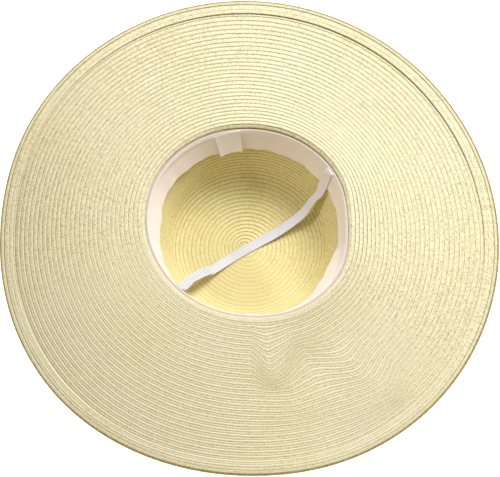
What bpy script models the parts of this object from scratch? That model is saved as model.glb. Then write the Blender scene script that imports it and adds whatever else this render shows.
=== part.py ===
"""A wide floppy hat of sewn straw braid. It lies on the tip of its crown, so the hollow looks up.

Metres, +Z up. The origin is the middle of the crown tip's outer face, on the surface that the hat lies on.
The back of the hat is at +Y. Directions round the hat are degrees from +X towards +Y. The straw cloth is
laid out from the face that is seen here, which is the inside of the crown and the underside of the brim,
and thickened outwards.
"""

import math

import bmesh
import bpy
from mathutils import Matrix, Vector

# Straw cloth: the crown
STRAW_THICKNESS = 0.0018
OPENING_RADIUS = 0.0915  # inside, where the crown meets the brim
CROWN_HEIGHT = 0.066  # from the tip's outer face to the top of the wall
TIP_FLAT_RADIUS = 0.052
TIP_CORNER_RADIUS = 0.022
LEAN_RIGHT = 0.0018  # how far the soft wall has carried the opening's middle away from the tip's
LEAN_BACK = -0.0020

# Straw cloth: the brim and its hem
SEAM_LAND = 0.0016  # the brim's first straight length, which carries on the wall's slope
FOLD_RADIUS = 0.0040  # where the cloth then turns over into the brim
BRIM_WIDTH = 0.133
HEM_WIDTH = 0.0125
HEM_THICKNESS = 0.0016

# How steeply the brim falls away from the crown: at the fold and at the rim, round the hat
BRIM_FALL = (
    # direction, fall at the fold, fall at the rim, all in degrees
    (0, 34, 2),
    (30, 34, -1),
    (60, 27, -1),
    (90, 18, 2),
    (120, 13, 7),
    (150, 9, 16),
    (180, 12, 25),
    (210, 10, 22),
    (240, 6, 10),
    (270, 8, 3),
    (300, 18, 7),
    (330, 28, 6),
)

# The soft opening isn't quite round
OPENING_SQUEEZE = (
    # direction in degrees, how far the opening's edge is pushed in as a share of OPENING_RADIUS
    (0, 0.047),
    (30, 0.012),
    (60, 0.000),
    (90, -0.005),
    (120, -0.025),
    (150, -0.030),
    (180, -0.005),
    (210, 0.026),
    (240, 0.042),
    (270, 0.040),
    (300, 0.000),
    (330, -0.008),
)

# Sweatband and label
BAND_HEIGHT = 0.0245
BAND_THICKNESS = 0.0010
LABEL_WIDTH = 0.0240
LABEL_HEIGHT = 0.0235
LABEL_THICKNESS = 0.0008
LABEL_DIRECTION = 102.2
LABEL_TURN = 5.0  # degrees that the label is sewn askew
LABEL_DROP = 0.0012  # from the band's top edge

# How the band's free edge wanders, round the hat
BAND_EDGE = (
    # direction, stand-off from the wall and drop below the straight edge, both as shares of BAND_HEIGHT
    (0, 0.03, -0.06),
    (30, 0.02, -0.04),
    (60, 0.04, -0.02),
    (90, 0.04, -0.04),
    (120, 0.06, -0.03),
    (150, 0.06, -0.06),
    (180, 0.12, 0.00),
    (210, 0.02, -0.12),
    (240, 0.05, -0.08),
    (270, 0.10, -0.02),
    (300, 0.00, -0.02),
    (330, 0.15, 0.08),
)

BAND_EDGE_SPARE = 0.1  # share of BAND_HEIGHT that the free edge may drop, and a little more

# Chin strap: a woven ribbon and its elastic end
STRAP_WIDTH = 0.0085
STRAP_THICKNESS = 0.0010
ELASTIC_WIDTH = 0.0086
ELASTIC_THICKNESS = 0.0012
STRAP_STEPS = 4  # sections between two points of the route

# Both are sewn on the band: how far below its top edge, over what length, how far they stand off where the
# stitching ends, and the directions of the two places
SEWN_BELOW = 0.0010
SEWN_LENGTH = 0.0040
SEWN_EASE = 0.0012
RIBBON_DIRECTION = 35.4
ELASTIC_DIRECTION = 223.6

# The ribbon's free route, from the right of the opening down to the crown's tip and across it
RIBBON_ROUTE = (
    # right and back from the opening's middle as shares of OPENING_RADIUS,
    # height above the tip as a share of CROWN_HEIGHT less the tip's thickness, roll in degrees
    (0.743, 0.523, 0.870, 0),
    (0.725, 0.501, 0.756, 0),
    (0.684, 0.455, 0.563, 6),
    (0.624, 0.425, 0.420, 22),
    (0.574, 0.383, 0.293, 18),
    (0.525, 0.339, 0.197, 10),
    (0.453, 0.292, 0.122, 6),
    (0.354, 0.228, 0.070, 4),
    (0.229, 0.152, 0.033, 2),
    (0.054, 0.058, 0.000, 0),
    (-0.173, -0.082, 0.000, 0),
    (-0.330, -0.198, 0.044, 0),
    (-0.418, -0.267, 0.092, 0),
)

# The elastic's free route, from on top of the ribbon's end up to the left of the opening
ELASTIC_ROUTE = (
    (-0.384, -0.238, 0.112, 0),
    (-0.457, -0.284, 0.172, 0),
    (-0.523, -0.350, 0.280, 0),
    (-0.579, -0.425, 0.430, 0),
    (-0.614, -0.530, 0.649, 0),
    (-0.645, -0.608, 0.841, 0),
)

GAP = 0.0003  # between two pieces that touch on the real hat
ROUND_STEPS = 60  # sections round the hat
TIP_RINGS = 2
CORNER_STEPS = 4
WALL_STEPS = 4
FOLD_STEPS = 3
BRIM_STEPS = 8
SHARES_DOWN = (1.0, 0.5, 0.0)  # rows of the band and the label, from the free edge up
SHARES_ACROSS = (0.0, 0.25, 0.5, 0.75, 1.0)

STRAW = (0.86, 0.76, 0.48)
STRAW_HEM = (0.88, 0.79, 0.52)
BAND_CLOTH = (0.90, 0.80, 0.72)
WHITE_RIBBON = (0.92, 0.92, 0.95)
WHITE_ELASTIC = (0.90, 0.92, 0.96)
WHITE_LABEL = (0.93, 0.91, 0.90)
STRAW_ROUGHNESS = 0.6
CLOTH_ROUGHNESS = 0.8
RIBBON_ROUGHNESS = 0.45


def smooth_step_between(before, low, high, after, t):
    """The value a share t of the way from low to high, on a smooth curve through all four."""
    return 0.5 * (
        2 * low
        + (high - before) * t
        + (2 * before - 5 * low + 4 * high - after) * t**2
        + (3 * low - before - 3 * high + after) * t**3
    )


def round_table(table, column, direction):
    """A column of a table of evenly spaced directions, read smoothly at any direction in degrees."""
    place = direction / 360 * len(table)
    row = math.floor(place)
    near = [table[(row + k) % len(table)][column] for k in (-1, 0, 1, 2)]
    return smooth_step_between(*near, place - row)


def along_route(route, place):
    """A route's row, read smoothly at any place from 0 to its last row's number."""
    row = min(int(place), len(route) - 2)
    near = [route[min(max(row + k, 0), len(route) - 1)] for k in (-1, 0, 1, 2)]
    return [smooth_step_between(*values, place - row) for values in zip(*near)]


def wall_angle():
    """The wall's slope: the line from the top of the wall that just touches the tip's round corner."""
    across = OPENING_RADIUS - TIP_FLAT_RADIUS
    up = CROWN_HEIGHT - STRAW_THICKNESS - TIP_CORNER_RADIUS
    return math.atan2(up, across) + math.asin(TIP_CORNER_RADIUS / math.hypot(across, up))


def kept_round(radius, direction, lean):
    """The share of its radius that a point keeps. The squeeze fades out towards the rim and the tip."""
    past_opening = max(radius - OPENING_RADIUS, 0) / BRIM_WIDTH
    reach = lean**2 * max(1 - past_opening, 0) ** 2
    return 1 - round_table(OPENING_SQUEEZE, 1, direction) * reach


def at(radius, height, direction, lean=1.0):
    """A point round the hat's middle, which drifts from the tip's at lean 0 to the opening's at lean 1."""
    turn = math.radians(direction)
    kept = radius * kept_round(radius, direction, lean)
    right = LEAN_RIGHT * lean + kept * math.cos(turn)
    back = LEAN_BACK * lean + kept * math.sin(turn)
    return Vector((right, back, height))


def crown_profile():
    """Radius and height of the crown's inner face, from near the tip's middle to the top of the wall."""
    slope = wall_angle()
    middle_height = STRAW_THICKNESS + TIP_CORNER_RADIUS
    profile = [(TIP_FLAT_RADIUS * (k + 1) / (TIP_RINGS + 1), STRAW_THICKNESS) for k in range(TIP_RINGS)]
    for k in range(CORNER_STEPS + 1):
        bend = slope * k / CORNER_STEPS
        radius = TIP_FLAT_RADIUS + TIP_CORNER_RADIUS * math.sin(bend)
        profile.append((radius, middle_height - TIP_CORNER_RADIUS * math.cos(bend)))
    foot_radius, foot_height = profile[-1]
    for k in range(1, WALL_STEPS + 1):
        share = k / WALL_STEPS
        radius = foot_radius + (OPENING_RADIUS - foot_radius) * share
        profile.append((radius, foot_height + (CROWN_HEIGHT - foot_height) * share))
    return profile


def brim_profile(direction, lift=0.0):
    """Radius and height of the brim's seen face in one direction, from the top of the wall out to the rim.

    The seam and the fold come first, then BRIM_STEPS lengths of brim. The last is as wide as the hem. lift
    raises the points off the seen face.
    """
    slope = wall_angle()
    fall_at_fold = math.radians(round_table(BRIM_FALL, 1, direction))
    fall_at_rim = math.radians(round_table(BRIM_FALL, 2, direction))
    radius = OPENING_RADIUS + GAP * math.cos(slope)
    height = CROWN_HEIGHT + GAP * math.sin(slope)
    points = [(radius, height, slope)]
    radius += SEAM_LAND * math.cos(slope)
    height += SEAM_LAND * math.sin(slope)
    points.append((radius, height, slope))
    for k in range(1, FOLD_STEPS + 1):
        heading = slope - (slope + fall_at_fold) * k / FOLD_STEPS
        middle_radius = radius + FOLD_RADIUS * math.sin(slope)
        middle_height = height - FOLD_RADIUS * math.cos(slope)
        points.append(
            (
                middle_radius - FOLD_RADIUS * math.sin(heading),
                middle_height + FOLD_RADIUS * math.cos(heading),
                heading,
            )
        )
    radius, height, heading = points[-1]
    reach = 0.0
    for k in range(1, BRIM_STEPS + 1):
        new_reach = (BRIM_WIDTH - HEM_WIDTH) * k / (BRIM_STEPS - 1) if k < BRIM_STEPS else BRIM_WIDTH
        share = (reach + new_reach) / 2 / BRIM_WIDTH
        heading = -(fall_at_fold + (fall_at_rim - fall_at_fold) * share)
        radius += (new_reach - reach) * math.cos(heading)
        height += (new_reach - reach) * math.sin(heading)
        points.append((radius, height, heading))
        reach = new_reach
    return [(r - lift * math.sin(h), z + lift * math.cos(h)) for r, z, h in points]


def wall_face_at(direction, below, lift):
    """A point at a length below the wall's top, lifted off its inner face."""
    slope = wall_angle()
    radius = OPENING_RADIUS - below * math.cos(slope) - lift * math.sin(slope)
    height = CROWN_HEIGHT - below * math.sin(slope) + lift * math.cos(slope)
    return at(radius, height, direction, height / CROWN_HEIGHT)


def band_face_at(direction, below, lift=0.0):
    """A point of the sweatband's seen face, at a length below its top edge. The band leans off the wall."""
    share = below / BAND_HEIGHT
    standing_off = round_table(BAND_EDGE, 1, direction) * BAND_HEIGHT * share
    return wall_face_at(direction, below, GAP + BAND_THICKNESS + standing_off + lift)


def sheet_object(name, rows, closed, thickness, material, capped=False):
    """A sheet through rows of points, thickened away from its seen face.

    closed joins each row's ends, and capped fills the first row, which makes the crown's tip.
    """
    mesh = bpy.data.meshes.new(name)
    shape = bmesh.new()
    verts = [[shape.verts.new(point) for point in row] for row in rows]
    for low, high in zip(verts, verts[1:]):
        count = len(low)
        for k in range(count if closed else count - 1):
            follow = (k + 1) % count
            shape.faces.new((low[k], high[k], high[follow], low[follow]))
    if capped:
        shape.faces.new(verts[0])
    shape.to_mesh(mesh)
    shape.free()
    mesh.shade_smooth()
    mesh.materials.append(material)
    sheet = bpy.data.objects.new(name, mesh)
    shell = sheet.modifiers.new("thickness", "SOLIDIFY")
    shell.thickness = thickness
    shell.offset = -1
    shell.use_even_offset = True
    return sheet


def finish(name, colour, roughness):
    """A plain material in the piece's own colour."""
    material = bpy.data.materials.new(name)
    material.use_nodes = True
    shader = material.node_tree.nodes["Principled BSDF"]
    shader.inputs["Base Color"].default_value = (*colour, 1)
    shader.inputs["Roughness"].default_value = roughness
    shader.inputs["Metallic"].default_value = 0.0
    return material


def directions():
    return [360 * k / ROUND_STEPS for k in range(ROUND_STEPS)]


def make_crown():
    rows = [[at(r, z, d, z / CROWN_HEIGHT) for d in directions()] for r, z in crown_profile()]
    straw = finish("crown_straw", STRAW, STRAW_ROUGHNESS)
    return sheet_object("crown", rows, True, STRAW_THICKNESS, straw, capped=True)


def make_brim():
    sides = [[at(r, z, d) for r, z in brim_profile(d)] for d in directions()]
    straw = finish("brim_straw", STRAW, STRAW_ROUGHNESS)
    return sheet_object("brim", list(zip(*sides)), True, STRAW_THICKNESS, straw)


def make_edge_hem():
    lift = GAP + HEM_THICKNESS
    sides = [[at(r, z, d) for r, z in brim_profile(d, lift)[-2:]] for d in directions()]
    straw = finish("hem_straw", STRAW_HEM, STRAW_ROUGHNESS)
    return sheet_object("edge_hem", list(zip(*sides)), True, HEM_THICKNESS, straw)


def make_sweatband():
    rows = []
    for share in SHARES_DOWN:
        row = []
        for direction in directions():
            deep = BAND_HEIGHT * (1 + round_table(BAND_EDGE, 2, direction))
            row.append(band_face_at(direction, deep * share))
        rows.append(row)
    cloth = finish("band_cloth", BAND_CLOTH, CLOTH_ROUGHNESS)
    return sheet_object("sweatband", rows, True, BAND_THICKNESS, cloth)


def make_label():
    """The label bends round the band, so it is turned askew on the band's face laid out flat."""
    rows = []
    askew = math.radians(LABEL_TURN)
    degrees_a_metre = math.degrees(1 / OPENING_RADIUS)
    for low in SHARES_DOWN:
        row = []
        for across in SHARES_ACROSS:
            sideways = (across - 0.5) * LABEL_WIDTH
            down = (low - 0.5) * LABEL_HEIGHT
            side = sideways * math.cos(askew) - down * math.sin(askew)
            below = LABEL_DROP + LABEL_HEIGHT / 2 + sideways * math.sin(askew) + down * math.cos(askew)
            direction = LABEL_DIRECTION + side * degrees_a_metre
            row.append(band_face_at(direction, below, GAP + LABEL_THICKNESS))
        rows.append(row)
    cloth = finish("label_cloth", WHITE_LABEL, CLOTH_ROUGHNESS)
    return sheet_object("label", rows, False, LABEL_THICKNESS, cloth)


def sewn_end(direction, width, lying):
    """The two rows where a flat ribbon lies on the round band, from the top one down."""
    lift = lying + width**2 / (8 * OPENING_RADIUS)
    top = band_face_at(direction, SEWN_BELOW, lift)
    foot = band_face_at(direction, SEWN_BELOW + SEWN_LENGTH, lift + SEWN_EASE)
    return [(*top, 0), (*foot, 0)]


def free_route(route, lying):
    """A route's rows in metres. At height 0 the seen face is as far as lying above the tip's inner face."""
    lowest = STRAW_THICKNESS + lying
    rows = []
    for right, back, high, roll in route:
        middle = at(0, lowest + high * (CROWN_HEIGHT - lowest), 0)
        rows.append((middle.x + right * OPENING_RADIUS, middle.y + back * OPENING_RADIUS, middle.z, roll))
    return rows


def off_the_cloth(point, lying):
    """A point moved inwards where the crown's corner, its wall or the band would be nearer than lying."""
    slope = wall_angle()
    lean = point.z / CROWN_HEIGHT
    middle = at(0, point.z, 0, lean)
    outwards = point - middle
    direction = math.degrees(math.atan2(outwards.y, outwards.x))
    kept = kept_round(outwards.length, direction, lean)
    radius = outwards.length / kept
    height = point.z
    over_corner = STRAW_THICKNESS + TIP_CORNER_RADIUS - height
    from_corner = math.hypot(radius - TIP_FLAT_RADIUS, over_corner)
    if radius > TIP_FLAT_RADIUS and over_corner > 0 and from_corner > TIP_CORNER_RADIUS - lying:
        share = (TIP_CORNER_RADIUS - lying) / from_corner
        radius = TIP_FLAT_RADIUS + (radius - TIP_FLAT_RADIUS) * share
        height = STRAW_THICKNESS + TIP_CORNER_RADIUS - over_corner * share
    below = (OPENING_RADIUS - radius) * math.cos(slope) + (CROWN_HEIGHT - height) * math.sin(slope)
    off_wall = (OPENING_RADIUS - radius) * math.sin(slope) - (CROWN_HEIGHT - height) * math.cos(slope)
    wanted = lying
    if below < BAND_HEIGHT * (1 + BAND_EDGE_SPARE):
        wanted += GAP + BAND_THICKNESS + round_table(BAND_EDGE, 1, direction) * below
    push = max(wanted - off_wall, 0)
    inwards = outwards.normalized() * (radius - push * math.sin(slope)) * kept
    return Vector((middle.x + inwards.x, middle.y + inwards.y, height + push * math.cos(slope)))


def make_ribbon(name, rows, width, thickness, lying, material):
    """A flat ribbon on a smooth curve through rows of right, back, height and roll."""
    count = (len(rows) - 1) * STRAP_STEPS
    lowest = min(row[2] for row in rows)
    places = [along_route(rows, k / STRAP_STEPS) for k in range(count + 1)]
    clear = lying + width**2 / (8 * TIP_FLAT_RADIUS)
    middles = []
    for right, back, high, _ in places:
        middles.append(off_the_cloth(Vector((right, back, max(high, lowest))), clear))
    sections = []
    for k, middle in enumerate(middles):
        along = (middles[min(k + 1, count)] - middles[max(k - 1, 0)]).normalized()
        side = Vector((0, 0, 1)).cross(along).normalized()
        side.rotate(Matrix.Rotation(math.radians(places[k][3]), 3, along))
        sections.append([middle + side * width * across for across in (-0.5, 0.5)])
    return sheet_object(name, sections, False, thickness, material)


def make_chin_strap():
    lying = GAP + STRAP_THICKNESS
    rows = sewn_end(RIBBON_DIRECTION, STRAP_WIDTH, lying) + free_route(RIBBON_ROUTE, lying)
    cloth = finish("ribbon_cloth", WHITE_RIBBON, RIBBON_ROUGHNESS)
    return make_ribbon("chin_strap", rows, STRAP_WIDTH, STRAP_THICKNESS, lying, cloth)


def make_strap_elastic():
    lying = GAP + ELASTIC_THICKNESS
    rows = free_route(ELASTIC_ROUTE, lying) + sewn_end(ELASTIC_DIRECTION, ELASTIC_WIDTH, lying)[::-1]
    cloth = finish("elastic_cloth", WHITE_ELASTIC, CLOTH_ROUGHNESS)
    return make_ribbon("strap_elastic", rows, ELASTIC_WIDTH, ELASTIC_THICKNESS, lying, cloth)


def clear_scene():
    for old in list(bpy.data.objects):
        bpy.data.objects.remove(old, do_unlink=True)


def main():
    clear_scene()
    hat = bpy.data.collections.new("floppy_hat")
    bpy.context.scene.collection.children.link(hat)
    straw_makers = (make_crown, make_brim, make_edge_hem)
    trim_makers = (make_sweatband, make_label, make_chin_strap, make_strap_elastic)
    for maker in straw_makers + trim_makers:
        hat.objects.link(maker())


main()
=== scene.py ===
"""A wide floppy hat of sewn straw braid, lying on the tip of its crown with its hollow up.

Metres, +Z up. Directions round the hat are degrees from +X towards +Y, and the back of the hat is at +Y.
The straw cloth is laid out from the face that is seen here: the inside of the crown and the underside of
the brim. A lift is a distance off that face, towards the eye. Colours are linear red, green and blue.
"""

import math

import bmesh
import bpy
import numpy as np
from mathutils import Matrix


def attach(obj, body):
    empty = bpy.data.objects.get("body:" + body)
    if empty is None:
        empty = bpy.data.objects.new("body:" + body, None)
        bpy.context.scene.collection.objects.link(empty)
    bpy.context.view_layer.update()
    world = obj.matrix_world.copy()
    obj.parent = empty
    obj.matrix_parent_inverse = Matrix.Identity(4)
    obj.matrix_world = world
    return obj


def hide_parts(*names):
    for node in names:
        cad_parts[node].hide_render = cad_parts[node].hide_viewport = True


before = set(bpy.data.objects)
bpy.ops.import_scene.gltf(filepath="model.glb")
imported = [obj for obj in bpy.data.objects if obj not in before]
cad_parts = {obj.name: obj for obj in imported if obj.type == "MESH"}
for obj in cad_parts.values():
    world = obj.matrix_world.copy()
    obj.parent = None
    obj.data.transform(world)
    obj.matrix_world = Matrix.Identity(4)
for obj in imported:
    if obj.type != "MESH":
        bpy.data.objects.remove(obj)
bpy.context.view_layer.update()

# Straw cloth, as cut and sewn
STRAW_THICKNESS = 0.0018
OPENING_RADIUS = 0.0915
CROWN_HEIGHT = 0.066
TIP_FLAT_RADIUS = 0.052
TIP_CORNER_RADIUS = 0.022
LEAN_RIGHT = 0.0018  # how far the opening's middle lies right and back of the tip's
LEAN_BACK = -0.0020
SEAM_LAND = 0.0016  # the brim's cloth that goes straight up from the wall
FOLD_RADIUS = 0.0040  # the fold in the brim's cloth where it turns outwards
FOLD_CLOTH = 0.0062  # cloth that goes round the fold, on the average
BRIM_WIDTH = 0.133
HEM_WIDTH = 0.0125
HEM_THICKNESS = 0.0016
GAP = 0.0003  # between pieces that are sewn together

# How steeply the brim falls away from the crown: at the fold and at the rim, round the hat
BRIM_FALL = (
    # direction, fall at the fold, fall at the rim, all in degrees
    (0, 34, 2),
    (30, 34, -1),
    (60, 27, -1),
    (90, 18, 2),
    (120, 13, 7),
    (150, 9, 16),
    (180, 12, 25),
    (210, 10, 22),
    (240, 6, 10),
    (270, 8, 3),
    (300, 18, 7),
    (330, 28, 6),
)

# The soft opening isn't quite round
OPENING_SQUEEZE = (
    # direction in degrees, how far the opening's edge is pushed in as a share of OPENING_RADIUS
    (0, 0.047),
    (30, 0.012),
    (60, 0.000),
    (90, -0.005),
    (120, -0.025),
    (150, -0.030),
    (180, -0.005),
    (210, 0.026),
    (240, 0.042),
    (270, 0.040),
    (300, 0.000),
    (330, -0.008),
)

# The braid: rows lapped on one another like tiles, each outer row nearer the eye than the one inside it
BRAID_THICKNESS = 0.0011
BRAID_TILT = 0.0006  # how far each row rises at its inner edge and sinks at its outer one
BRAID_EDGE = 0.065  # share of the braid's width that its rounded edge takes
BRAID_FLAT = 0.14  # share of its width from which on it is nearly flat
BRAID_SECTION = (
    # across the braid from its inner edge, as a share; side of its middle, in half-thicknesses
    (0.0, 0.0),
    (BRAID_EDGE, 0.8),
    (BRAID_FLAT, 0.97),
    (0.5, 1.0),
    (1 - BRAID_FLAT, 0.97),
    (1 - BRAID_EDGE, 0.8),
    (1.0, 0.0),
    (1 - BRAID_EDGE, -0.8),
    (1 - BRAID_FLAT, -0.97),
    (0.5, -1.0),
    (BRAID_FLAT, -0.97),
    (BRAID_EDGE, -0.8),
)
LAP = 0.0011  # how far each row reaches under the next
CROWN_PITCH = 0.0038
SPIRAL_START = (-0.0032, 0.0026)  # where the first turn starts, right and back from the tip's middle
SPIRAL_START_REACH = 0.030  # how far out from there the turns are still drawn off the middle
BRIM_FIRST_PITCH = 0.00402
BRIM_LAST_PITCH = 0.00467
HEM_ROWS = (
    # inner edge of the row as a share of HEM_WIDTH; how far its inner and outer edges rise off the
    # hem's middle
    (0.00, 0.0002, 0.0000),
    (0.30, 0.0005, -0.0004),
    (0.71, 0.0006, 0.0003),
    (1.00, 0.0000, 0.0000),
)
RIM_SECTION = (
    # out beyond the rim and lift from the middle of brim and hem together, both in half-thicknesses of
    # the two
    (-0.70, 1.12),
    (-0.10, 1.18),
    (0.28, 0.80),
    (0.42, 0.00),
    (0.28, -0.80),
    (-0.10, -1.15),
    (-0.70, -1.10),
    (-0.25, -0.85),
    (0.02, 0.00),
    (-0.25, 0.85),
)
STEPS_A_TURN_CROWN = 144
STEPS_A_TURN_BRIM = 240
ROW_WANDER = (
    # how far the hand-sewn rows wander, waves round the hat, radians that they shift a metre outwards, phase
    (0.00022, 3, 60, 0),
    (0.00022, 7, -90, 1),
    (0.00010, 23, 700, 0),
    (0.00010, 41, -410, 2),
)

# Where the soft brim has creased, the rows swerve
ROW_KINKS = (
    # direction where the swerve starts, where it is widest and where it ends, in degrees; distance out
    # along the brim, half-length of the place and swerve outwards, all as shares of BRIM_WIDTH
    (271.0, 277.5, 289.0, 0.24, 0.25, 0.110),
    (283.0, 292.0, 303.0, 0.34, 0.22, -0.060),
    (296.0, 306.0, 312.0, 0.45, 0.20, 0.050),
    (292.0, 310.0, 316.0, 0.66, 0.24, 0.065),
    (271.0, 283.0, 300.0, 0.53, 0.20, 0.022),
)

# Sweatband and label
BAND_HEIGHT = 0.0245
BAND_THICKNESS = 0.0010
BAND_HEM = 0.0030
# Where the band and the label have points, as shares of the band's height and of the label's width
BAND_SECTIONS = (0, 0.02, 0.045, 0.07, 0.095, 0.12, 0.14, 0.2, 0.35, 0.5, 0.65, 0.8, 0.9, 0.96, 0.985, 1)
LABEL_SECTIONS = (0, 0.02, 0.06, 0.10, 0.25, 0.5, 0.75, 0.90, 0.94, 0.98, 1)
BAND_HEM_BULGE = (
    # down the band as a share of its height, how far the turned hem bulges there
    (0.0, 0.0002),
    (0.02, 0.0006),
    (0.095, 0.0008),
    (0.14, 0.0005),
    (0.2, 0.0),
)
BAND_WAVER = (
    # how far the free edge wavers down, as a share of BAND_HEIGHT; waves round the hat, shift, phase
    (0.0048, 9, 0, 0.5),
    (0.0084, 16, 0, 2),
    (0.0060, 27, 0, 0),
)
BAND_RIPPLE = (
    # how far the free edge ripples off the wall; waves round the hat, shift, phase
    (0.00035, 17, 0, 1),
    (0.00035, 29, 0, 3),
    (0.00035, 11, 0, 0),
)
SELVEDGE = 0.00012  # how much thicker its very edge is
BAND_EDGE_SPARE = 0.1  # share of BAND_HEIGHT that the free edge may drop, and a little more
LABEL_WIDTH = 0.0240
LABEL_HEIGHT = 0.0235
LABEL_THICKNESS = 0.0008
LABEL_DIRECTION = 102.2
LABEL_TURN = 5.0  # degrees that it is sewn askew
LABEL_DROP = 0.0012  # how far its top edge lies below the band's
LABEL_FOLD = 0.00015  # how much its folded side edges stand up
LABEL_CURL = 0.0024  # how far its lower corners curl off the band
BAND_EDGE = (
    # direction, stand-off from the wall and drop below the straight edge, both as shares of BAND_HEIGHT
    (0, 0.03, -0.06),
    (30, 0.02, -0.04),
    (60, 0.04, -0.02),
    (90, 0.04, -0.04),
    (120, 0.06, -0.03),
    (150, 0.06, -0.06),
    (180, 0.12, 0.00),
    (210, 0.02, -0.12),
    (240, 0.05, -0.08),
    (270, 0.10, -0.02),
    (300, 0.00, -0.02),
    (330, 0.15, 0.08),
)

# Chin strap: a woven ribbon and its elastic end, sewn on the band
STRAP_WIDTH = 0.0085
STRAP_THICKNESS = 0.0010
ELASTIC_WIDTH = 0.0086
ELASTIC_THICKNESS = 0.0012
ELASTIC_RIBS = 5
ELASTIC_RIB_HEIGHT = 0.0004
RIBBON_EDGE = 0.0002  # height of the ribbon's woven edges
SEWN_BELOW = 0.0010  # how far below the band's top edge the strap is sewn on
SEWN_LENGTH = 0.0040  # how much of it lies on the band there
SEWN_EASE = 0.0012  # and how far it lifts off over that length
RIBBON_DIRECTION = 35.4
ELASTIC_DIRECTION = 223.6
STRAP_STEPS = 12  # sections from one row of a strap's route to the next
RIBBON_ROUTE = (
    # right and back from the opening's middle as shares of OPENING_RADIUS,
    # height above the tip as a share of CROWN_HEIGHT less the tip's thickness, roll in degrees
    (0.743, 0.523, 0.870, 0),
    (0.725, 0.501, 0.756, 0),
    (0.684, 0.455, 0.563, 6),
    (0.624, 0.425, 0.420, 22),
    (0.574, 0.383, 0.293, 18),
    (0.525, 0.339, 0.197, 10),
    (0.453, 0.292, 0.122, 6),
    (0.354, 0.228, 0.070, 4),
    (0.229, 0.152, 0.033, 2),
    (0.054, 0.058, 0.000, 0),
    (-0.173, -0.082, 0.000, 0),
    (-0.330, -0.198, 0.044, 0),
    (-0.418, -0.267, 0.092, 0),
)
ELASTIC_ROUTE = (
    # as above
    (-0.384, -0.238, 0.112, 0),
    (-0.457, -0.284, 0.172, 0),
    (-0.523, -0.350, 0.280, 0),
    (-0.579, -0.425, 0.430, 0),
    (-0.614, -0.530, 0.649, 0),
    (-0.645, -0.608, 0.841, 0),
)

# Stitches
STITCH_LENGTH = 0.0030
STITCH_SPACE = 0.0008
STITCH_DROP = 0.80  # where the band's stitches run, down its turned hem as a share of BAND_HEM
STITCH_LIFT = 0.0007  # how far they lie off the band's face
THREAD_RADIUS = 0.00022
THREAD_SIDES = 6
STITCH_ARCH = (
    # along the stitch as a share, rise off the cloth in thread radii
    (0.0, -0.6),
    (0.12, 0.5),
    (0.5, 0.9),
    (0.88, 0.5),
    (1.0, -0.6),
)
STITCHES_ACROSS = 4  # in a row across the strap
STITCH_MARGIN = 0.06  # share of the strap's width that such a row leaves bare at either edge
RIBBON_SEWN_AT = (3, 7)  # sections of the ribbon with a row of stitches
ELASTIC_SEWN_AT = (1, 4, -8, -4)  # the same for the elastic, the last two counted back from its end

# The eye, in front of the hat, looks a little below the opening's middle
VIEW_ELEVATION = math.radians(68.1)
VIEW_DISTANCE = 2.5
VIEW_LENS = 203.6
SENSOR_WIDTH = 36
PICTURE_WIDTH = 500
VIEW_RIGHT = 0.00044
VIEW_RISE = 14.5  # pixels from the picture's middle up to the opening's
VIEW_TILT = math.atan2(VIEW_RISE, VIEW_LENS / SENSOR_WIDTH * PICTURE_WIDTH)

# Lamps, floor and sky
LAMPS = (
    # name; direction and elevation seen from the opening and angle of the beam, all in degrees; distance
    # and size in metres; power in watts; colour
    ("key", 59, 52, 180, 1.7, 0.9, 32, (0.965, 0.985, 1.0)),
    ("hollow_fill", 185, 33, 9, 1.5, 0.12, 0.018, (1.0, 0.97, 0.96)),
)
FLOOR_REACH = 6
FLOOR_GLOW = 1.0  # the white table is lit through from below
FLOOR_GREYS = ((0.90, 0.90, 0.90), (0.92, 0.92, 0.92))
SKY_COLOUR = (1.0, 0.92, 0.67)
SKY_STRENGTH = 0.42


def smooth_step_between(before, low, high, after, t):
    """The value a share t of the way from low to high, on a smooth curve through all four."""
    return 0.5 * (
        2 * low
        + (high - before) * t
        + (2 * before - 5 * low + 4 * high - after) * t**2
        + (3 * low - before - 3 * high + after) * t**3
    )


def round_table(table, column, direction):
    """A column of a table of evenly spaced directions, read smoothly at any directions in degrees."""
    values = np.array([row[column] for row in table], float)
    place = np.asarray(direction, float) / 360 * len(values)
    row = np.floor(place).astype(int)
    near = [values[(row + k) % len(values)] for k in (-1, 0, 1, 2)]
    return smooth_step_between(*near, place - row)


def waves_round(table, direction, out=0):
    """Waves round the hat, added up. A row is a swing, a count, a shift a metre outwards and a phase."""
    turn = np.radians(direction)
    return sum(swing * np.sin(count * turn + shift * out + phase) for swing, count, shift, phase in table)


def kept_round(radius, direction, lean):
    """The share of its radius that a point keeps. The squeeze fades out towards the rim and the tip."""
    past_opening = np.maximum(radius - OPENING_RADIUS, 0) / BRIM_WIDTH
    reach = lean**2 * np.maximum(1 - past_opening, 0) ** 2
    return 1 - round_table(OPENING_SQUEEZE, 1, direction) * reach


def at(radius, height, direction, lean):
    """Points round the hat's middle, which drifts from the tip's at lean 0 to the opening's at lean 1."""
    turn = np.radians(direction)
    kept = radius * kept_round(radius, direction, lean)
    right = LEAN_RIGHT * lean + kept * np.cos(turn)
    back = LEAN_BACK * lean + kept * np.sin(turn)
    return np.stack(np.broadcast_arrays(right, back, height), -1)


def wall_angle():
    """The wall's slope: the line from the top of the wall that just touches the tip's round corner."""
    across = OPENING_RADIUS - TIP_FLAT_RADIUS
    up = CROWN_HEIGHT - STRAW_THICKNESS - TIP_CORNER_RADIUS
    return math.atan2(up, across) + math.asin(TIP_CORNER_RADIUS / math.hypot(across, up))


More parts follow.
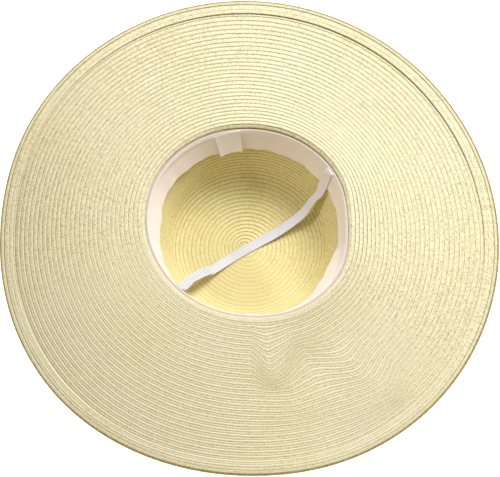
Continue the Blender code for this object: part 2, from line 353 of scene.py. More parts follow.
def go_on(radius, height, heading, length, bend):
    """The radius, height and heading a length further along cloth that bends by so many radians a metre."""
    mean = heading + bend * length / 2
    chord = length * np.sinc(bend * length / 2 / math.pi)
    return radius + chord * np.cos(mean), height + chord * np.sin(mean), heading + bend * length


def wall_length():
    slope = wall_angle()
    foot = STRAW_THICKNESS + TIP_CORNER_RADIUS * (1 - math.cos(slope))
    return (CROWN_HEIGHT - foot) / math.sin(slope)


def crown_cloth():
    """How much cloth there is from the tip's middle to the top of the wall."""
    return TIP_FLAT_RADIUS + TIP_CORNER_RADIUS * wall_angle() + wall_length()


def crown_face(direction, out, lift):
    """Points of the crown, a length out from the tip's middle along the cloth."""
    corner = TIP_CORNER_RADIUS * wall_angle()
    flat = np.minimum(out, TIP_FLAT_RADIUS)
    round_part = np.clip(out - TIP_FLAT_RADIUS, 0, corner)
    rest = np.maximum(out - TIP_FLAT_RADIUS - corner, 0)
    place = go_on(0 * flat, STRAW_THICKNESS + 0 * flat, 0 * flat, flat, 0)
    place = go_on(*place, round_part, 1 / TIP_CORNER_RADIUS)
    radius, height, heading = go_on(*place, rest, 0)
    lean = height / CROWN_HEIGHT
    points = at(radius - lift * np.sin(heading), height + lift * np.cos(heading), direction, lean)
    off_middle = np.clip(1 - out / SPIRAL_START_REACH, 0, 1)[..., None] ** 2
    return points + off_middle * np.array((*SPIRAL_START, 0))


def brim_cloth():
    """How much cloth there is from the top of the wall to the rim."""
    return SEAM_LAND + FOLD_CLOTH + BRIM_WIDTH


def brim_face(direction, out, lift):
    """Points of the brim, a length out from the top of the wall along the cloth."""
    slope = wall_angle()
    fall_at_fold = np.radians(round_table(BRIM_FALL, 1, direction))
    fall_at_rim = np.radians(round_table(BRIM_FALL, 2, direction))
    land = np.minimum(out, SEAM_LAND)
    round_fold = np.clip((out - SEAM_LAND) / FOLD_CLOTH, 0, 1) * FOLD_RADIUS * (slope + fall_at_fold)
    rest = np.maximum(out - SEAM_LAND - FOLD_CLOTH, 0)
    start_radius = OPENING_RADIUS + GAP * math.cos(slope)
    start_height = CROWN_HEIGHT + GAP * math.sin(slope)
    place = go_on(start_radius, start_height, slope, land, 0)
    place = go_on(*place, round_fold, -1 / FOLD_RADIUS)
    radius, height, heading = go_on(*place, rest, (fall_at_fold - fall_at_rim) / BRIM_WIDTH)
    return at(radius - lift * np.sin(heading), height + lift * np.cos(heading), direction, 1)


def wall_face(direction, below, lift):
    """Points at a length below the wall's top, lifted off its inner face."""
    slope = wall_angle()
    radius = OPENING_RADIUS - below * math.cos(slope) - lift * math.sin(slope)
    height = CROWN_HEIGHT - below * math.sin(slope) + lift * math.cos(slope)
    return at(radius, height, direction, height / CROWN_HEIGHT)


def band_face(direction, below, lift):
    """Points of the sweatband's seen face, at a length below its top edge. The band leans off the wall."""
    standing_off = round_table(BAND_EDGE, 1, direction) * below
    return wall_face(direction, below, GAP + BAND_THICKNESS + standing_off + lift)


# Meshes


def skin_faces(rings, start=0):
    """The faces of a closed skin over rings of points: quads between the rings and a cap at either end."""
    count, size, _ = rings.shape
    corner = start + np.arange(count * size).reshape(count, size)
    low, high = corner[:-1], corner[1:]
    quads = np.stack((low, high, np.roll(high, -1, 1), np.roll(low, -1, 1)), -1).reshape(-1, 4)
    return quads.tolist() + [corner[0].tolist(), corner[-1][::-1].tolist()]


def skin(name, rings, finish, marks):
    """A closed skin over rings of points, with three numbers for each point."""
    return piece_of(name, rings.reshape(-1, 3), skin_faces(rings), marks.reshape(-1, 3), finish)


def piece_of(name, points, faces, marks, finish):
    """An object, its faces turned outwards and shaded smooth but at its edges.

    marks is three numbers for each point, kept on the mesh as the attribute "laid".
    """
    mesh = bpy.data.meshes.new(name)
    mesh.from_pydata(points.tolist(), [], faces)
    laid = mesh.attributes.new("laid", "FLOAT_VECTOR", "POINT")
    laid.data.foreach_set("vector", np.asarray(marks, np.float32).ravel())
    shape = bmesh.new()
    shape.from_mesh(mesh)
    bmesh.ops.recalc_face_normals(shape, faces=shape.faces)
    shape.to_mesh(mesh)
    shape.free()
    mesh.shade_smooth()
    mesh.set_sharp_from_angle(angle=math.radians(60))
    mesh.materials.append(finish)
    piece = bpy.data.objects.new(name, mesh)
    bpy.context.scene.collection.objects.link(piece)
    return piece


def join(name, pieces):
    """One object out of several, each closed by itself."""
    whole = bmesh.new()
    for piece in pieces:
        whole.from_mesh(piece.data)
    first = pieces[0]
    whole.to_mesh(first.data)
    whole.free()
    for piece in pieces[1:]:
        bpy.data.objects.remove(piece)
    first.name = name
    first.data.name = name
    return first


# Braid


def braid_rings(direction, inner, outer, lift, tilt, face):
    """Sections of braid across a face, and where each point lies along it, across it and off its middle.

    The braid's middle is lift off the face. It leans by tilt, up at the inner edge and down at the outer.
    """
    across = np.array([row[0] for row in BRAID_SECTION])
    side = np.array([row[1] for row in BRAID_SECTION]) * BRAID_THICKNESS / 2
    turned = np.asarray(direction)[:, None]
    out = inner[:, None] + (outer - inner)[:, None] * across
    off = lift + tilt * (1 - 2 * across) + side
    rings = face(turned, out, off)
    middles = rings.mean(1)
    steps = np.linalg.norm(np.diff(middles, axis=0), axis=1)
    along = np.concatenate(([0], np.cumsum(steps)))
    marks = np.stack(np.broadcast_arrays(along[:, None], across, side / BRAID_THICKNESS), -1)
    return rings, marks


def wind(name, rows_out, rows, cloth, steps_a_turn, face, finish):
    """One braid wound in a spiral, its outer edge lapped under the next turn.

    rows_out gives how far out a row's inner edge is. The first turn starts as a narrow wedge.
    """
    first = LAP / CROWN_PITCH - 1
    turn = np.arange(int((rows - first) * steps_a_turn) + 1) / steps_a_turn + first
    inner = np.clip(rows_out(turn), 0, cloth - LAP / 2)
    outer = np.clip(rows_out(turn + 1) + LAP, LAP / 2, cloth)
    rings, marks = braid_rings(turn * 360, inner, outer, -STRAW_THICKNESS / 2, BRAID_TILT, face)
    return skin(name, rings, finish, marks)


def kinked(direction, out):
    """How far the rows swerve at the creases in the front of the brim."""
    shift = 0 * out
    turned = np.mod(direction, 360)
    share = (out - SEAM_LAND - FOLD_CLOTH) / BRIM_WIDTH
    for start, widest, end, middle, reach, depth in ROW_KINKS:
        rise = (turned - start) / (widest - start)
        fall = (end - turned) / (end - widest)
        swerve = np.clip(np.minimum(rise, fall), 0, 1)
        near = np.clip(1 - ((share - middle) / reach) ** 2, 0, 1) ** 2
        shift = shift + depth * BRIM_WIDTH * swerve * near
    return shift


def sewn_brim_face(direction, out, lift):
    """The brim's face with its rows' wandering, which fades out at the seam and the rim."""
    share = out / brim_cloth()
    free = np.clip(4 * share * (1 - share), 0, 1)
    shifted = out + free * waves_round(ROW_WANDER, direction, out) + kinked(direction, out)
    return brim_face(direction, np.clip(shifted, 0, brim_cloth()), lift)


def brim_rows():
    return brim_cloth() / ((BRIM_FIRST_PITCH + BRIM_LAST_PITCH) / 2)


def brim_row(turn):
    """How far out a row's inner edge is, from the top of the wall. The pitch grows towards the rim."""
    growth = (BRIM_LAST_PITCH - BRIM_FIRST_PITCH) / brim_rows()
    return BRIM_FIRST_PITCH * turn + growth * turn * np.abs(turn) / 2


def crown_row(turn):
    """How far out a row's inner edge is, from the tip's middle."""
    return CROWN_PITCH * turn


def make_crown(finish):
    rows = crown_cloth() / CROWN_PITCH
    return wind("crown_braid", crown_row, rows, crown_cloth(), STEPS_A_TURN_CROWN, crown_face, finish)


def make_brim(finish):
    steps = STEPS_A_TURN_BRIM
    return wind("brim_braid", brim_row, brim_rows(), brim_cloth(), steps, sewn_brim_face, finish)


def make_hem(finish):
    """The last rows, folded over on the seen face, and the row that goes round the rim."""
    direction = np.arange(STEPS_A_TURN_BRIM + 1) * 360 / STEPS_A_TURN_BRIM
    rows = []
    for (start, inner_rise, outer_rise), (end, _, _) in zip(HEM_ROWS, HEM_ROWS[1:]):
        inner = brim_cloth() - HEM_WIDTH * (1 - start) + 0 * direction
        outer = np.minimum(brim_cloth() - HEM_WIDTH * (1 - end) + LAP, brim_cloth()) + 0 * direction
        middle = GAP + HEM_THICKNESS / 2 + (inner_rise + outer_rise) / 2
        tilt = (inner_rise - outer_rise) / 2
        rings, marks = braid_rings(direction, inner, outer, middle, tilt, brim_face)
        rows.append(skin("hem_row", rings, finish, marks))
    both = (STRAW_THICKNESS + GAP + HEM_THICKNESS) / 2
    out = brim_cloth() + both * np.array([row[0] for row in RIM_SECTION])
    lift = both * np.array([row[1] for row in RIM_SECTION]) + both - STRAW_THICKNESS
    rings = brim_face(direction[:, None], out[None, :], lift[None, :])
    along = direction / 360 * 2 * math.pi * (OPENING_RADIUS + BRIM_WIDTH)
    marks = np.stack(np.broadcast_arrays(along[:, None], lift[None, :] / both / 2 + 0.5, 0.5), -1)
    rows.append(skin("rim_row", rings, finish, marks))
    return join("hem_braid", rows)


# Shader nodes


class Value:
    """A number or a colour over a surface. The operators on numbers add Math nodes."""

    def __init__(self, finish, socket):
        self.finish = finish
        self.socket = socket

    def math(self, operation, first, second=None):
        values = {0: first} if second is None else {0: first, 1: second}
        return self.finish.node("Math", {"operation": operation}, values)

    def __add__(self, other):
        return self.math("ADD", self, other)

    def __sub__(self, other):
        return self.math("SUBTRACT", self, other)

    def __rsub__(self, other):
        return self.math("SUBTRACT", other, self)

    def __mul__(self, other):
        return self.math("MULTIPLY", self, other)

    def __truediv__(self, other):
        return self.math("DIVIDE", self, other)

    def __abs__(self):
        return self.math("ABSOLUTE", self)

    def __gt__(self, other):
        return self.math("GREATER_THAN", self, other)

    __radd__ = __add__
    __rmul__ = __mul__

    def sine(self):
        return self.math("SINE", self)

    def whole(self):
        return self.math("FLOOR", self)

    def between(self, low, high):
        """0 below low, 1 above high, and a straight run from one to the other."""
        values = {"Value": self, "From Min": low, "From Max": high}
        return self.finish.node("MapRange", {"clamp": True}, values)


class Finish:
    """A material in the making, around one Principled shader."""

    def __init__(self, name, **constants):
        self.material = bpy.data.materials.new(name)
        self.material.use_nodes = True
        self.tree = self.material.node_tree
        self.shader = self.tree.nodes["Principled BSDF"]
        for socket, value in constants.items():
            self.feed(self.shader.inputs[socket.replace("_", " ")], value)

    def feed(self, socket, value):
        if isinstance(value, Value):
            self.tree.links.new(value.socket, socket)
        elif isinstance(value, tuple) and len(value) == 3 and socket.type == "RGBA":
            socket.default_value = (*value, 1)
        else:
            socket.default_value = value

    def node(self, kind, settings=None, values=None, out=0):
        """A node of any kind: its settings first, then the values or links of its sockets."""
        made = self.tree.nodes.new("ShaderNode" + kind)
        for name, setting in (settings or {}).items():
            setattr(made, name, setting)
        for name, value in (values or {}).items():
            self.feed(made.inputs[name], value)
        return Value(self, made.outputs[out])

    def laid(self):
        """How far along the piece a point lies in metres, its place across from 0 to 1, and its side."""
        where = self.node("Attribute", {"attribute_name": "laid"}, out="Vector")
        return [self.node("SeparateXYZ", {}, {0: where}, out=axis) for axis in "XYZ"]

    def noise(self, scale, detail, where=None):
        """Smooth noise from 0 to 1, its lumps 1/scale metres across."""
        where = where or self.node("TexCoord", out="Object")
        return self.node("TexNoise", {}, {"Vector": where, "Scale": scale, "Detail": detail})

    def mix(self, share, first, second):
        """Two colours mixed by a share."""
        return self.node("Mix", {"data_type": "RGBA"}, {0: share, 6: first, 7: second}, out=2)

    def together(self, x, y, z=0.0):
        return self.node("CombineXYZ", {}, {0: x, 1: y, 2: z})

    def done(self, colour, roughness, height, depth, strength):
        """Feeds the shader. height is relief from 0 to 1, and depth is what 1 stands for, in metres."""
        self.feed(self.shader.inputs["Base Color"], colour)
        self.feed(self.shader.inputs["Roughness"], roughness)
        values = {"Height": height, "Distance": depth, "Strength": strength}
        self.feed(self.shader.inputs["Normal"], self.node("Bump", {}, values))
        return self.material


# Finishes

PLAIT_CELL = 0.0016
PLAIT_CELLS_ACROSS = 3.4
BRIM_STRAW = {
    "pale": (0.950, 0.892, 0.720),
    "warm": (0.890, 0.790, 0.480),
    "shade": (0.330, 0.265, 0.080),  # painted shade between the strands, under the next row and in the furrow, and the dullest strands' tone
    "first_painted_shade": 0.78,  # how dark the painted shade under the next row is, at the braid's start
    "last_painted_shade": 0.50,  # and at its end
    "painted_shade_deepens": (0.67, 0.79),  # from where to where across the braid that painted shade grows
    "dullest": 0.48,  # how dark the dullest strands are
    "furrow": 1.60,  # how deep the braid's furrow is, in heights of the plait, and how strong its painted shade is
}
# The crown's copy of the brim's straw, deeper and more yellow: painted shade for the hollow
CROWN_STRAW_SHADED = {
    "pale": (0.940, 0.860, 0.510),
    "warm": (0.850, 0.710, 0.290),
    "shade": (0.330, 0.240, 0.025),
    "first_painted_shade": 0.28,
    "last_painted_shade": 0.90,
    "painted_shade_deepens": (0.54, 0.70),
    "dullest": 0.30,
    "furrow": 0.30,
}
PAINTED_SHADE_CHANGES = (2.6, 5.0)  # metres of braid from where to where its first painted shade turns into its last
EDGE_STRAND_HIGHLIGHT = (0.14, 0.06)  # from where to where across the braid its smooth edge strand starts, kept paler: partly a painted highlight
FURROW_PLACE = 0.385  # where across the braid its furrow lies
FURROW_REACH = 0.095  # and how far it reaches to either side
FURROW_STARTS = (-174.8, -157.6)  # directions where it starts at the left and where it is full
FURROW_ENDS = (-28.6, -41.3)  # directions where it has ended at the right and where it is still full
BAND_THREAD = 0.00042  # spacing of the threads, here and below
LABEL_THREAD = 0.00035
RIBBON_THREADS_ACROSS = 16
RIBBON_THREAD = 0.0005
ELASTIC_LOOP = 0.0007
SEWING_TWIST = 0.0004
BAND_PINK = (0.945, 0.840, 0.815)
BAND_PALE = (0.955, 0.885, 0.870)
# the turned hem: pinker than the band, its own colour, and darker, as painted shade
HEM_PINK_AND_SHADE = (0.880, 0.785, 0.790)
# painted shade along the band's top edge, which faces the lamp
HEM_TOP_PAINTED_SHADE = (0.620, 0.530, 0.510)
LABEL_WHITE = (0.960, 0.900, 0.930)
# painted highlight along the label's folded edges
LABEL_EDGE_HIGHLIGHT = (0.990, 0.975, 0.985)
RIBBON_WHITE = (0.630, 0.635, 0.680)
RIBBON_BLUE = (0.590, 0.580, 0.700)
# pink tint and painted light near the ribbon's sewn end, where it hangs in shade
RIBBON_PINK_PAINTED_LIGHT = (0.850, 0.785, 0.860)
RIBBON_PAINTED_LIGHT_FADES = (0.085, 0.02)  # from where to where along the ribbon the pink painted light grows to its full
ELASTIC_SHADE = (0.330, 0.340, 0.500)
ELASTIC_WHITE = (0.820, 0.825, 0.850)
THREAD_WHITE = (0.960, 0.900, 0.870)


def pulled_tight(straw):
    """1 at the front and the left of the hat, where the braid was pulled tight, and 0 elsewhere."""
    where = straw.node("TexCoord", out="Object")
    right, back = (straw.node("SeparateXYZ", {}, {0: where}, out=axis) for axis in "XY")
    turn = straw.node("Math", {"operation": "ARCTAN2"}, {0: back, 1: right})
    starts = turn.between(*(math.radians(direction) for direction in FURROW_STARTS))
    ends = turn.between(*(math.radians(direction) for direction in FURROW_ENDS))
    return starts * ends


def straw_finish(name, pale, warm, shade, first_painted_shade, last_painted_shade, painted_shade_deepens, dullest, furrow):
    """Plaited paper straw: strands cross at a slant, over and under, with painted shade between them and
    under the next row.
    """
    straw = Finish(name, Specular_IOR_Level=0.3)
    along, across, side = straw.laid()
    lengthwise = along / PLAIT_CELL
    crosswise = across * PLAIT_CELLS_ACROSS
    one_way = lengthwise + crosswise
    other_way = lengthwise - crosswise
    one_strand = (one_way * math.pi).sine()
    other_strand = (other_way * math.pi).sine()
    over = one_strand * other_strand > 0
    relief = abs(one_strand) * over + abs(other_strand) * (1 - over)
    cell = straw.together(one_way.whole(), other_way.whole(), over)
    tone = straw.node("TexWhiteNoise", {"noise_dimensions": "3D"}, {"Vector": cell})
    fibres = straw.noise(900, 3.0, where=straw.together(along, across * 0.02))
    patches = straw.noise(16, 3.0)
    # the low places between the strands, where the straw gets painted shade
    gaps_painted_dark = relief.between(0.60, 0.05)
    dull = tone.between(0.55, 0.05)
    tight = pulled_tight(straw)
    # the furrow is a dip in the bump, and it darkens the straw too, as painted shade
    groove = abs(across - FURROW_PLACE).between(FURROW_REACH, 0.0) * tight * furrow

    seen = side > 0
    start, full = painted_shade_deepens
    # painted shade across each braid where the next row lies on it, heavier up the crown's walls
    painted_row_shade = across.between(start, full) * seen + across.between(1 - start, 1 - full) * (1 - seen)
    painted_row_shade_strength = along.between(*PAINTED_SHADE_CHANGES) * (last_painted_shade - first_painted_shade) + first_painted_shade
    # the smooth edge strand has few dull strands or gaps and is paler: partly a painted highlight along each
    # row's edge
    plaited_off_edge_highlight = 1 - across.between(*EDGE_STRAND_HIGHLIGHT) * 0.8
    speckle = (gaps_painted_dark * 0.30 + dull * dullest) * (1 - tight * 0.45)
    # the dull strands are the straw's own tone; the rest is painted shade in the gaps, under the next row
    # and in the furrow
    dull_tone_and_painted_shade = speckle * plaited_off_edge_highlight + painted_row_shade * painted_row_shade_strength + groove * 0.10

    warmth = patches.between(0.35, 0.65) * 0.20 + tone * 0.40 + fibres * 0.15
    colour = straw.mix(dull_tone_and_painted_shade, straw.mix(warmth, pale, warm), shade)
    roughness = 0.52 + tone * 0.12 + gaps_painted_dark * 0.15
    height = relief * 0.8 + fibres * 0.2 - groove
    return straw.done(colour, roughness, height, depth=0.00028, strength=0.8)


def band_finish():
    """Plain woven cloth, pinker on its turned hem, with painted shade on the hem and along its top edge."""
    cloth = Finish("band_weave", Specular_IOR_Level=0.2, Sheen_Weight=0.15)
    along, across, _ = cloth.laid()
    warp = (along * (2 * math.pi / BAND_THREAD)).sine()
    weft = (across * (2 * math.pi * BAND_HEIGHT / BAND_THREAD)).sine()
    weave = warp * weft * 0.5 + 0.5
    hem = across.between(0.20, 0.13)
    # painted shade on the band's top edge
    top = across.between(0.02, 0.005)
    soft = cloth.noise(35, 3.0)
    colour = cloth.mix(soft.between(0.35, 0.7) * 0.3 + weave * 0.12, BAND_PINK, BAND_PALE)
    # the hem's pink, with painted shade in it
    colour = cloth.mix(hem * 0.8, colour, HEM_PINK_AND_SHADE)
    colour = cloth.mix(top, colour, HEM_TOP_PAINTED_SHADE)
    height = weave * 0.6 + soft * 0.4
    return cloth.done(colour, 0.78 + weave * 0.1, height, depth=0.00010, strength=0.7)


def label_finish():
    """Satin label cloth, with a painted highlight along its folded edges."""
    cloth = Finish("label_satin", Specular_IOR_Level=0.3, Sheen_Weight=0.1)
    along, across, _ = cloth.laid()
    weft = (across * (2 * math.pi * LABEL_WIDTH / LABEL_THREAD)).sine()
    warp = (along * (2 * math.pi / LABEL_THREAD)).sine()
    weave = weft * 0.35 + warp * 0.15 + 0.5
    # painted highlight along the folded edges
    rim = abs(across - 0.5).between(0.44, 0.48)
    colour = cloth.mix(rim * 0.8 + weave * 0.1, LABEL_WHITE, LABEL_EDGE_HIGHLIGHT)
    return cloth.done(colour, 0.62 + weave * 0.1, weave, depth=0.00006, strength=0.6)


def ribbon_finish():
    """Fine ribbon: close lengthwise threads, a slight sheen, and pinkish towards its sewn end, where painted
    light brightens it.
    """
    cloth = Finish("ribbon_weave", Specular_IOR_Level=0.4, Sheen_Weight=0.1)
    along, across, _ = cloth.laid()
    warp = (across * (2 * math.pi * RIBBON_THREADS_ACROSS)).sine()
    weft = (along * (2 * math.pi / RIBBON_THREAD)).sine()
    weave = warp * 0.25 + weft * 0.25 + 0.5
    soft = cloth.noise(60, 2.0)
    colour = cloth.mix(soft.between(0.3, 0.7) * 0.35 + weave * 0.1, RIBBON_WHITE, RIBBON_BLUE)
    # paler and pinker towards the sewn end: a pink tint and painted light
    colour = cloth.mix(along.between(*RIBBON_PAINTED_LIGHT_FADES), colour, RIBBON_PINK_PAINTED_LIGHT)
    return cloth.done(colour, 0.45 + weave * 0.1, weave, depth=0.00006, strength=0.6)


def elastic_finish():
    """Knitted elastic: short crosswise loops between its lengthwise ribs."""
    cloth = Finish("elastic_knit", Specular_IOR_Level=0.25, Sheen_Weight=0.1)
    along, across, _ = cloth.laid()
    loops = abs((along * (math.pi / ELASTIC_LOOP)).sine())
    ribs = abs((across * (math.pi * ELASTIC_RIBS)).sine())
    colour = cloth.mix(ribs.between(0.70, 0.1) * 0.9 + loops * 0.1, ELASTIC_WHITE, ELASTIC_SHADE)
    height = loops * 0.6 + ribs * 0.4
    return cloth.done(colour, 0.7 + loops * 0.1, height, depth=0.00012, strength=0.7)


def thread_finish():
    """Twisted sewing thread."""
    thread = Finish("sewing_thread", Specular_IOR_Level=0.3)
    along, across, _ = thread.laid()
    twist = abs((along * (math.pi / SEWING_TWIST) + across * math.pi).sine())
    colour = thread.mix(twist * 0.3, THREAD_WHITE, BAND_PINK)
    return thread.done(colour, 0.6 + twist * 0.1, twist, depth=0.00005, strength=0.6)


# Sweatband, label and strap


def sheet_rings(seen, back):
    """Closed sections out of a sheet's seen face and its back, row by row."""
    return np.concatenate((seen, back[:, ::-1]), 1)


def make_sweatband(finish):
    """The band: a turned hem along its sewn edge, and a loose free edge that ripples."""
    direction = np.arange(361.0)[:, None]
    shares = np.array(BAND_SECTIONS)
    deep = BAND_HEIGHT * (1 + round_table(BAND_EDGE, 2, direction) + waves_round(BAND_WAVER, direction))
    below = deep * shares
    ripple = waves_round(BAND_RIPPLE, direction) * shares**2
    hem = np.interp(shares, *zip(*BAND_HEM_BULGE))
    selvedge = SELVEDGE * np.interp(shares, (0.95, 0.985, 1.0), (0, 1, 0))
    thick = BAND_THICKNESS * np.interp(shares, (0, 0.15), (1.2, 0.75))
    seen = band_face(direction, below, ripple + hem + selvedge)
    back = band_face(direction, below, ripple - thick)
    along = np.radians(direction) * OPENING_RADIUS
    marks = np.stack(np.broadcast_arrays(along, shares, 0.0), -1)
    return skin("sweatband_cloth", sheet_rings(seen, back), finish, sheet_rings(marks, marks))


def thread_between(first, last, up):
    """One stitch: a short thread that rises out of the cloth and goes back into it."""
    first, last, up = (np.asarray(vector, float) for vector in (first, last, up))
    side = np.cross(last - first, up)
    side /= np.linalg.norm(side)
    rings = []
    marks = []
    length = np.linalg.norm(last - first)
    round_shares = np.arange(THREAD_SIDES) / THREAD_SIDES
    turns = 2 * math.pi * round_shares[:, None]
    for share, rise in STITCH_ARCH:
        middle = first + (last - first) * share + up * THREAD_RADIUS * rise
        rings.append(middle + THREAD_RADIUS * (np.cos(turns) * side + np.sin(turns) * up))
        marks.append([(length * share, round_share, 0) for round_share in round_shares])
    return np.array(rings), np.array(marks)


def sew(name, stitches, finish):
    """Many stitches as one piece. Each is its two ends and the cloth's upward direction there."""
    points, faces, marks = [], [], []
    for first, last, up in stitches:
        rings, laid = thread_between(first, last, up)
        faces += skin_faces(rings, len(points))
        points += rings.reshape(-1, 3).tolist()
        marks += laid.reshape(-1, 3).tolist()
    return piece_of(name, np.array(points), faces, marks, finish)


def band_normal(direction, below):
    """The direction straight off the band's seen face."""
    step = 0.001
    return (band_face(direction, below, step) - band_face(direction, below, 0.0)) / step


def make_band_stitching(finish):
    """The line of stitches that holds the band's turned hem."""
    one_to_next = STITCH_LENGTH + STITCH_SPACE
    count = round(2 * math.pi * OPENING_RADIUS / one_to_next)
    below = BAND_HEM * STITCH_DROP
    stitches = []
    for k in range(count):
        start = 360 * k / count
        end = start + 360 / count * STITCH_LENGTH / one_to_next
        first, last = (band_face(direction, below, STITCH_LIFT) for direction in (start, end))
        stitches.append((first, last, band_normal((start + end) / 2, below)))
    return sew("band_stitching", stitches, finish)


def make_label(finish):
    """The label, sewn a little askew along its top edge, its free edge curling off the band."""
    askew = math.radians(LABEL_TURN)
    down_shares = np.linspace(0, 1, 15)[:, None]
    across = np.array(LABEL_SECTIONS)[None, :]
    sideways = (across - 0.5) * LABEL_WIDTH
    down = (down_shares - 0.5) * LABEL_HEIGHT
    side = sideways * math.cos(askew) - down * math.sin(askew)
    below = LABEL_DROP + LABEL_HEIGHT / 2 + sideways * math.sin(askew) + down * math.cos(askew)
    direction = LABEL_DIRECTION + np.degrees(side / OPENING_RADIUS)
    folded = LABEL_FOLD * np.interp(np.abs(across - 0.5), (0.40, 0.44, 0.48, 0.5), (0, 1, 1, 0))
    curl = LABEL_CURL * down_shares**2 * (0.4 + 0.6 * (2 * across - 1) ** 2)
    seen = band_face(direction, below, GAP + LABEL_THICKNESS + folded + curl)
    back = band_face(direction, below, GAP + LABEL_THICKNESS * 0.3 + curl)
    marks = np.stack(np.broadcast_arrays(down_shares * LABEL_HEIGHT, across, 0.0), -1)
    return skin("label_cloth", sheet_rings(seen, back), finish, sheet_rings(marks, marks))


def rise_under(width, radius):
    """How far a hollow face of this radius rises past a flat thing's middle at its edges."""
    return width**2 / (8 * radius)


def sewn_end(direction, width, lying):
    """The two rows where a flat ribbon lies on the round band, from the top one down."""
    lift = lying + rise_under(width, OPENING_RADIUS)
    top = band_face(direction, SEWN_BELOW, lift)
    foot = band_face(direction, SEWN_BELOW + SEWN_LENGTH, lift + SEWN_EASE)
    return [(*top, 0), (*foot, 0)]


def free_route(route, lying):
    """A route's rows in metres. At height 0 the seen face is as far as lying above the tip's inner face."""
    lowest = STRAW_THICKNESS + lying
    rows = []
    for right, back, high, roll in route:
        height = lowest + high * (CROWN_HEIGHT - lowest)
        middle = at(0, height, 0, 1)
        rows.append((middle[0] + right * OPENING_RADIUS, middle[1] + back * OPENING_RADIUS, height, roll))
    return rows


def off_the_cloth(point, lying):
    """A point moved inwards where the crown's corner, its wall or the band would be nearer than lying."""
    slope = wall_angle()
    lean = point[2] / CROWN_HEIGHT
    middle = at(0, point[2], 0, lean)
    right, back, _ = point - middle
    distance = math.hypot(right, back)
    direction = math.degrees(math.atan2(back, right))
    kept = kept_round(distance, direction, lean)
    radius = distance / kept
    height = point[2]
    over_corner = STRAW_THICKNESS + TIP_CORNER_RADIUS - height
    from_corner = math.hypot(radius - TIP_FLAT_RADIUS, over_corner)
    if radius > TIP_FLAT_RADIUS and over_corner > 0 and from_corner > TIP_CORNER_RADIUS - lying:
        share = (TIP_CORNER_RADIUS - lying) / from_corner
        radius = TIP_FLAT_RADIUS + (radius - TIP_FLAT_RADIUS) * share
        height = STRAW_THICKNESS + TIP_CORNER_RADIUS - over_corner * share
    below = (OPENING_RADIUS - radius) * math.cos(slope) + (CROWN_HEIGHT - height) * math.sin(slope)
    off_wall = (OPENING_RADIUS - radius) * math.sin(slope) - (CROWN_HEIGHT - height) * math.cos(slope)
    wanted = lying
    if below < BAND_HEIGHT * (1 + BAND_EDGE_SPARE):
        wanted += GAP + BAND_THICKNESS + round_table(BAND_EDGE, 1, direction) * below
    push = max(wanted - off_wall, 0)
    share = (radius - push * math.sin(slope)) * kept / distance
    return np.array((middle[0] + right * share, middle[1] + back * share, height + push * math.cos(slope)))


def strap_run(rows, width, lying):
    """The middles of a strap on a smooth curve through rows, and the directions of its side and its face."""
    rows = np.array(rows)
    count = (len(rows) - 1) * STRAP_STEPS
    place = np.arange(count + 1) / STRAP_STEPS
    row = np.minimum(place.astype(int), len(rows) - 2)
    near = [rows[np.clip(row + k, 0, len(rows) - 1)] for k in (-1, 0, 1, 2)]
    read = smooth_step_between(*near, (place - row)[:, None])
    read[:, 2] = np.maximum(read[:, 2], rows[:, 2].min())
    clear = lying + rise_under(width, TIP_FLAT_RADIUS)
    middles = np.array([off_the_cloth(point, clear) for point in read[:, :3]])
    step = np.arange(count + 1)
    forward = middles[np.minimum(step + 1, count)] - middles[np.maximum(step - 1, 0)]
    forward /= np.linalg.norm(forward, axis=1)[:, None]
    side = np.cross((0, 0, 1), forward)
    side /= np.linalg.norm(side, axis=1)[:, None]
    up = np.cross(forward, side)
    roll = np.radians(read[:, 3])[:, None]
    return middles, side * np.cos(roll) + up * np.sin(roll), up * np.cos(roll) - side * np.sin(roll)


def make_strap(name, run, width, thickness, profile, finish):
    """A flat strap along its run. profile is its relief from edge to edge, in metres."""
    middles, side, up = (column[:, None] for column in run)
    across = np.linspace(0, 1, len(profile))
    offset = ((across - 0.5) * width)[None, :, None]
    relief = np.asarray(profile)[None, :, None]
    seen = middles + side * offset + up * (relief - max(profile))
    back = middles + side * offset - up * (thickness - relief * 0.5)
    steps = np.linalg.norm(np.diff(run[0], axis=0), axis=1)
    along = np.concatenate(([0], np.cumsum(steps)))
    marks = np.stack(np.broadcast_arrays(along[:, None], across[None, :], 0.0), -1)
    return skin(name, sheet_rings(seen, back), finish, sheet_rings(marks, marks))


def ribbon_run():
    lying = GAP + STRAP_THICKNESS
    rows = sewn_end(RIBBON_DIRECTION, STRAP_WIDTH, lying) + free_route(RIBBON_ROUTE, lying)
    return strap_run(rows, STRAP_WIDTH, lying)


def elastic_run():
    lying = GAP + ELASTIC_THICKNESS
    rows = free_route(ELASTIC_ROUTE, lying) + sewn_end(ELASTIC_DIRECTION, ELASTIC_WIDTH, lying)[::-1]
    return strap_run(rows, ELASTIC_WIDTH, lying)


def make_ribbon(finish):
    """The ribbon, its woven edges a little thicker than its middle."""
    across = np.linspace(0, 1, 15)
    profile = RIBBON_EDGE * np.interp(across, (0, 0.08, 0.16, 0.84, 0.92, 1), (0, 1, 0.5, 0.5, 1, 0))
    return make_strap("chin_ribbon", ribbon_run(), STRAP_WIDTH, STRAP_THICKNESS, profile, finish)


def make_elastic(finish):
    """The elastic, its ribs rounder than a sine wave."""
    across = np.linspace(0, 1, 6 * ELASTIC_RIBS + 1)
    profile = ELASTIC_RIB_HEIGHT * np.abs(np.sin(across * math.pi * ELASTIC_RIBS)) ** 0.7
    return make_strap("ribbed_elastic", elastic_run(), ELASTIC_WIDTH, ELASTIC_THICKNESS, profile, finish)


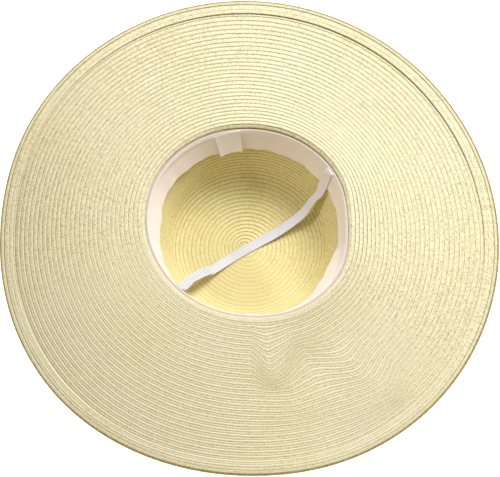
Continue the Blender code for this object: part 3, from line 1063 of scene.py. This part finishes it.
def rows_of_stitches(run, width, places):
    """Stitches across a strap. places are sections of its run."""
    middles, side, up = run
    room = width * (1 - 2 * STITCH_MARGIN)
    stitches = []
    for place in places:
        for k in range(STITCHES_ACROSS):
            ends = [(k + share) / STITCHES_ACROSS - 0.5 for share in (0.12, 0.88)]
            first, last = (middles[place] + side[place] * end * room for end in ends)
            stitches.append((first, last, up[place]))
    return stitches


def make_strap_stitching(finish):
    """The stitching across the strap: at both sewn ends and where the elastic lies on the ribbon."""
    stitches = rows_of_stitches(ribbon_run(), STRAP_WIDTH, RIBBON_SEWN_AT)
    stitches += rows_of_stitches(elastic_run(), ELASTIC_WIDTH, ELASTIC_SEWN_AT)
    return sew("strap_stitching", stitches, finish)


# Studio


def make_floor():
    paper = Finish("pale_floor")
    paper.feed(paper.shader.inputs["Emission Color"], (1.0, 1.0, 1.0))
    paper.feed(paper.shader.inputs["Emission Strength"], FLOOR_GLOW)
    tone = paper.noise(3, 2.0)
    colour = paper.mix(tone, *FLOOR_GREYS)
    reach = FLOOR_REACH
    mesh = bpy.data.meshes.new("floor")
    corners = [(-reach, -reach, 0), (reach, -reach, 0), (reach, reach, 0), (-reach, reach, 0)]
    mesh.from_pydata(corners, [], [(0, 1, 2, 3)])
    mesh.materials.append(paper.done(colour, 0.9 + tone * 0.05, tone, depth=0.0001, strength=0.1))
    floor = bpy.data.objects.new("floor", mesh)
    bpy.context.scene.collection.objects.link(floor)


def make_lamp(name, direction, elevation, beam, distance, size, power, colour):
    """A soft round lamp that looks at the opening."""
    lamp = bpy.data.lights.new(name, "AREA")
    lamp.shape = "DISK"
    lamp.size = size
    lamp.spread = math.radians(beam)
    lamp.energy = power
    lamp.color = colour
    light = bpy.data.objects.new(name, lamp)
    turn, rise = math.radians(direction), math.radians(elevation)
    light.location = (
        distance * math.cos(rise) * math.cos(turn),
        distance * math.cos(rise) * math.sin(turn),
        CROWN_HEIGHT + distance * math.sin(rise),
    )
    light.rotation_euler = (math.radians(90) - rise, 0, turn + math.radians(90))
    bpy.context.scene.collection.objects.link(light)


def make_studio():
    make_floor()
    for lamp in LAMPS:
        make_lamp(*lamp)
    world = bpy.data.worlds.new("studio")
    world.use_nodes = True
    sky = world.node_tree.nodes["Background"]
    sky.inputs["Color"].default_value = (*SKY_COLOUR, 1)
    sky.inputs["Strength"].default_value = SKY_STRENGTH
    bpy.context.scene.world = world
    bpy.context.scene.view_settings.view_transform = "Standard"


def make_camera():
    lens = bpy.data.cameras.new("eye")
    lens.lens = VIEW_LENS
    lens.sensor_width = SENSOR_WIDTH
    lens.sensor_fit = "HORIZONTAL"
    eye = bpy.data.objects.new("eye", lens)
    eye.location = (
        LEAN_RIGHT + VIEW_RIGHT,
        LEAN_BACK - VIEW_DISTANCE * math.cos(VIEW_ELEVATION),
        CROWN_HEIGHT + VIEW_DISTANCE * math.sin(VIEW_ELEVATION),
    )
    eye.rotation_euler = (math.radians(90) - VIEW_ELEVATION - VIEW_TILT, 0, 0)
    bpy.context.scene.collection.objects.link(eye)
    bpy.context.scene.camera = eye


def main():
    make_camera()
    make_studio()
    brim_straw = straw_finish("brim_plait", **BRIM_STRAW)
    shaded_crown_straw = straw_finish("crown_plait_shaded", **CROWN_STRAW_SHADED)
    thread = thread_finish()
    band = make_sweatband(band_finish())
    label = make_label(label_finish())
    stitching = make_band_stitching(thread)
    pieces = (
        # piece, node that it replaces, slot
        (make_crown(shaded_crown_straw), "crown", "straw"),
        (make_brim(brim_straw), "brim", "straw"),
        (make_hem(brim_straw), "edge_hem", "straw"),
        (band, "sweatband", "band_cloth"),
        (label, "label", "label_cloth"),
        (make_ribbon(ribbon_finish()), "chin_strap", "ribbon"),
        (make_elastic(elastic_finish()), "strap_elastic", "elastic"),
        (stitching, None, "band_cloth"),
        (make_strap_stitching(thread), None, "ribbon"),
    )
    for piece, node, slot in pieces:
        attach(piece, "root")
        if node:
            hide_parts(node)


main()
bpy.context.view_layer.update()
